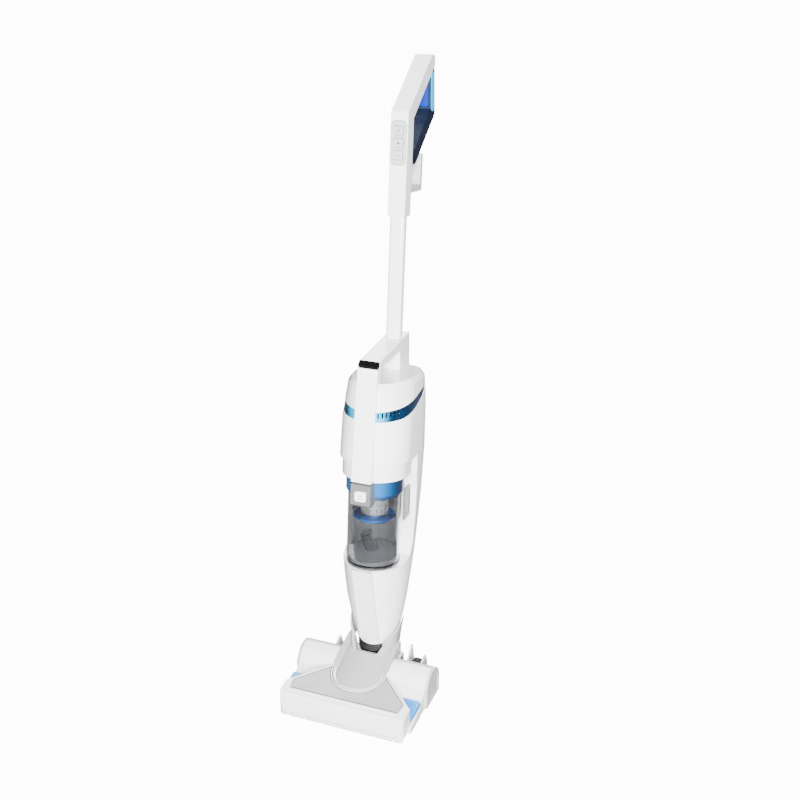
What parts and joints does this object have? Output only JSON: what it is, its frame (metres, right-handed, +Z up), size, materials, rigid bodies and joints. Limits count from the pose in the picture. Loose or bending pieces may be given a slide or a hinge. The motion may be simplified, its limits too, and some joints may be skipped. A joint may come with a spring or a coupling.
{
  "type": "wet dry floor scrubber",
  "caption": "Upright wet and dry floor scrubber with a wide roller head, steering neck, clear dirty-water tank, carry handle and a looped grip on a pole.",
  "frame": {"origin": "on the floor, under the middle of the machine's bounding box", "axes": "+Z up along the height; the head's front faces -Y; +X is to the right as seen from in front"},
  "size_m": [0.2614, 0.4386, 1.1196],
  "materials": {
    "white": "glossy moulded",
    "pale_grey": "satin moulded",
    "mid_grey": "satin",
    "black": "satin black",
    "gloss_black": "gloss",
    "navy_rubber": "ribbed rubber",
    "black_rubber": "soft rubber",
    "blue": "metallic blue",
    "cyan": "glossy cyan",
    "clear_cyan": "translucent cyan",
    "smoke": "clear smoky plastic",
    "frosted": "frosted clear plastic",
    "chrome": "polished",
    "steel": "brushed",
    "aluminium": "silver-white coat",
    "pile": "microfibre pile",
    "paper": "pleated filter fleece",
    "board": "solder-mask green"
  },
  "bodies": {
    "head": {"base_chassis": "pale_grey", "front_bumper": "white", "head_cover": "white", "cover_panel": "pale_grey", "window_left": "clear_cyan", "window_right": "clear_cyan", "roller_housing": "white", "end_cap_left": "pale_grey", "end_cap_right": "pale_grey", "neck_fairing": "pale_grey", "brush_motor": "black", "squeegee": "navy_rubber", "suction_duct": "black", "spray_bar": "navy_rubber", "wheel_axles": "steel", "head_screws": "steel"},
    "roller": {"brush_roller": "pile", "roller_core": "black"},
    "wheel_l": {"wheel_left": "black_rubber"},
    "wheel_r": {"wheel_right": "black_rubber"},
    "neck": {"swivel_yoke": "black"},
    "upright": {"nose_cover": "white", "rear_shell": "white", "collar": "white", "motor_housing": "white", "vent_band": "blue", "top_cap": "pale_grey", "front_strip": "white", "carry_handle": "white", "pole": "aluminium", "handle_shell": "white", "grip_pad": "navy_rubber", "grip_inserts": "cyan", "control_plate": "pale_grey", "suction_motor": "steel", "filter_pad": "paper", "circuit_board": "board", "water_pump": "black", "side_clips": "mid_grey", "lower_hook": "pale_grey", "cable_gland": "black_rubber"},
    "fan": {"impeller": "steel"},
    "dirty_tank": {"tank_shell": "smoke", "tank_lid": "blue", "filter_can": "chrome", "inlet_tube": "smoke", "latch_block": "mid_grey", "lid_seal": "black_rubber"},
    "float": {"float_bowl": "blue"},
    "latch": {"latch_button": "white"},
    "water_tank": {"clean_tank": "frosted"},
    "cap": {"filler_cap": "navy_rubber"},
    "release": {"release_button": "gloss_black"},
    "upper_key": {"key_upper": "white"},
    "middle_key": {"key_middle": "white"},
    "lower_key": {"key_lower": "white"},
    "spray_trigger": {"trigger": "blue"},
    "hook": {"cord_hook": "pale_grey"}
  },
  "joints": [
    {"name": "recline", "type": "hinge", "parent": "head", "child": "neck", "pos_m": [0, -0.038, 0.04], "axis": [-1, 0, 0], "range_deg": [0, 60]},
    {"name": "steer", "type": "hinge", "parent": "neck", "child": "upright", "pos_m": [0, -0.038, 0.04], "axis": [0, 0, 1], "range_deg": [-30, 30]},
    {"name": "roller_spin", "type": "hinge", "parent": "head", "child": "roller", "pos_m": [0, -0.086, 0.0284], "axis": [1, 0, 0], "continuous": true},
    {"name": "wheel_left_roll", "type": "hinge", "parent": "head", "child": "wheel_l", "pos_m": [-0.0745, -0.013, 0.015], "axis": [1, 0, 0], "continuous": true},
    {"name": "wheel_right_roll", "type": "hinge", "parent": "head", "child": "wheel_r", "pos_m": [0.0745, -0.013, 0.015], "axis": [1, 0, 0], "continuous": true},
    {"name": "fan_spin", "type": "hinge", "parent": "upright", "child": "fan", "pos_m": [0, -0.03492, 0.45193], "axis": [0, 0.1045, 0.9945], "continuous": true},
    {"name": "dirty_tank_out", "type": "slide", "parent": "upright", "child": "dirty_tank", "axis": [0, -0.9945, 0.1045], "range_m": [0, 0.165]},
    {"name": "float_rise", "type": "slide", "parent": "dirty_tank", "child": "float", "axis": [0, 0.1045, 0.9945], "range_m": [0, 0.006]},
    {"name": "latch_press", "type": "slide", "parent": "dirty_tank", "child": "latch", "axis": [0, 0.9945, -0.1045], "range_m": [0, 0.002], "stiffness_N_per_m": 900, "springref_m": -0.001},
    {"name": "clean_tank_out", "type": "slide", "parent": "upright", "child": "water_tank", "axis": [0, 0.9945, -0.1045], "range_m": [0, 0.12]},
    {"name": "filler_cap_turn", "type": "hinge", "parent": "water_tank", "child": "cap", "pos_m": [0, 0.0639, 0.41641], "axis": [0, 0.9945, -0.1045], "continuous": true},
    {"name": "release_press", "type": "slide", "parent": "upright", "child": "release", "axis": [0, -0.1045, -0.9945], "range_m": [0, 0.0016], "stiffness_N_per_m": 900, "springref_m": -0.001},
    {"name": "key_upper_press", "type": "slide", "parent": "upright", "child": "upper_key", "axis": [0, 0.9945, -0.1045], "range_m": [0, 0.001], "stiffness_N_per_m": 700, "springref_m": -0.0008},
    {"name": "key_middle_press", "type": "slide", "parent": "upright", "child": "middle_key", "axis": [0, 0.9945, -0.1045], "range_m": [0, 0.001], "stiffness_N_per_m": 700, "springref_m": -0.0008},
    {"name": "key_lower_press", "type": "slide", "parent": "upright", "child": "lower_key", "axis": [0, 0.9945, -0.1045], "range_m": [0, 0.001], "stiffness_N_per_m": 700, "springref_m": -0.0008},
    {"name": "trigger_pull", "type": "hinge", "parent": "upright", "child": "spray_trigger", "pos_m": [0, 0.1962, 1.0772], "axis": [1, 0, 0], "range_deg": [0, 4], "stiffness_Nm_per_rad": 2, "springref_deg": -2.86},
    {"name": "cord_hook_turn", "type": "hinge", "parent": "upright", "child": "hook", "pos_m": [0, 0.09612, 0.90472], "axis": [0, 0.9945, -0.1045], "range_deg": [0, 180]}
  ]
}
